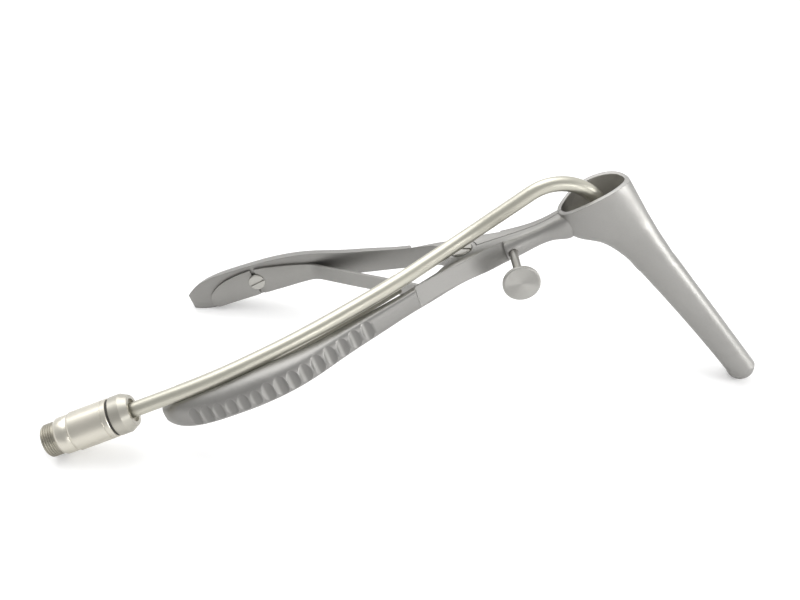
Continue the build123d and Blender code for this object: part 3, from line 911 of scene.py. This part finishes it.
def makeFloor():
    mesh = bpy.data.meshes.new("Floor")
    shape = bmesh.new()
    half = studio["floorHalf"]
    corners = ((-half, -half), (half, -half), (half, half), (-half, half))
    shape.faces.new([shape.verts.new((x, y, 0)) for x, y in corners])
    shape.to_mesh(mesh)
    shape.free()
    floor = bpy.data.objects.new("Floor", mesh)
    bpy.context.scene.collection.objects.link(floor)
    material, tree = newMaterial("FloorWhite")
    out = addNode(tree, "ShaderNodeOutputMaterial")
    shader = addNode(tree, "ShaderNodeBsdfPrincipled", in_Roughness=studio["floorRoughness"])
    shade = studio["floorColor"]
    shader.inputs["Base Color"].default_value = (shade, shade, shade, 1)
    shader.inputs["Specular IOR Level"].default_value = 0.0
    path = addNode(tree, "ShaderNodeLightPath")
    place = addNode(tree, "ShaderNodeTexCoord")
    far = smoothStep(tree, vectorNode(tree, "LENGTH", place.outputs["Object"]), studio["liftReach"])
    far.inputs["To Min"].default_value = studio["liftNear"]
    far.inputs["To Max"].default_value = studio["liftFar"]
    lift = mathNode(tree, "MULTIPLY", path.outputs["Is Camera Ray"], far.outputs["Result"])
    shader.inputs["Emission Color"].default_value = (1, 1, 1, 1)
    link(tree, lift, shader.inputs["Emission Strength"])
    link(tree, shader.outputs["BSDF"], out.inputs["Surface"])
    mesh.materials.append(material)


def makeWorld():
    # White backdrop behind the object; the side of the camera is a dimmer room, seen in metal only
    world = bpy.data.worlds.new("Studio")
    bpy.context.scene.world = world
    world.use_nodes = True
    tree = world.node_tree
    tree.nodes.clear()
    out = addNode(tree, "ShaderNodeOutputWorld")
    path = addNode(tree, "ShaderNodeLightPath")
    plain = addNode(tree, "ShaderNodeBackground", in_Strength=studio["worldLevel"])
    white = addNode(tree, "ShaderNodeBackground", in_Strength=1.0)
    room = addNode(tree, "ShaderNodeBackground")
    for node in (plain, white, room):
        node.inputs["Color"].default_value = (1, 1, 1, 1)
    place = addNode(tree, "ShaderNodeTexCoord")
    split = addNode(tree, "ShaderNodeSeparateXYZ")
    link(tree, place.outputs["Generated"], split.inputs["Vector"])
    level = smoothStep(tree, split.outputs["Y"], studio["dimming"])
    level.inputs["To Min"].default_value = studio["cameraSideLevel"]
    level.inputs["To Max"].default_value = studio["backdropLevel"]
    link(tree, level.outputs["Result"], room.inputs["Strength"])
    inMetal = mathNode(tree, "MAXIMUM", path.outputs["Is Glossy Ray"], path.outputs["Is Transmission Ray"])

    def mixed(factor, first, second):
        node = addNode(tree, "ShaderNodeMixShader")
        for socket, source in zip(node.inputs, (factor, first, second)):
            link(tree, source, socket)
        return node.outputs["Shader"]

    unseen = mixed(inMetal, plain.outputs["Background"], room.outputs["Background"])
    sky = mixed(path.outputs["Is Camera Ray"], unseen, white.outputs["Background"])
    link(tree, sky, out.inputs["Surface"])


def areaLamp(name, place, target, size, power):
    data = bpy.data.lights.new(name, "AREA")
    data.shape = "SQUARE"
    data.size = size
    data.energy = power
    lamp = bpy.data.objects.new(name, data)
    bpy.context.scene.collection.objects.link(lamp)
    lamp.location = place
    lamp.rotation_mode = "QUATERNION"
    lamp.rotation_quaternion = (Vector(target) - Vector(place)).to_track_quat("-Z", "Y")


def makeCamera():
    data = bpy.data.cameras.new("Camera")
    data.lens = cameraSettings["lens"]
    data.sensor_width = cameraSettings["sensor"]
    data.clip_start, data.clip_end = cameraSettings["clip"]
    camera = bpy.data.objects.new("Camera", data)
    bpy.context.scene.collection.objects.link(camera)
    turn = Matrix((cameraSettings["right"], cameraSettings["up"], cameraSettings["back"])).transposed()
    camera.rotation_mode = "QUATERNION"
    camera.rotation_quaternion = turn.to_quaternion()
    camera.location = cameraSettings["place"]
    bpy.context.scene.camera = camera


makeFloor()
makeWorld()
for lampName, lampValues in lamps.items():
    areaLamp(lampName, **lampValues)
makeCamera()
bpy.context.scene.view_settings.view_transform = "Standard"
print("studio lit")
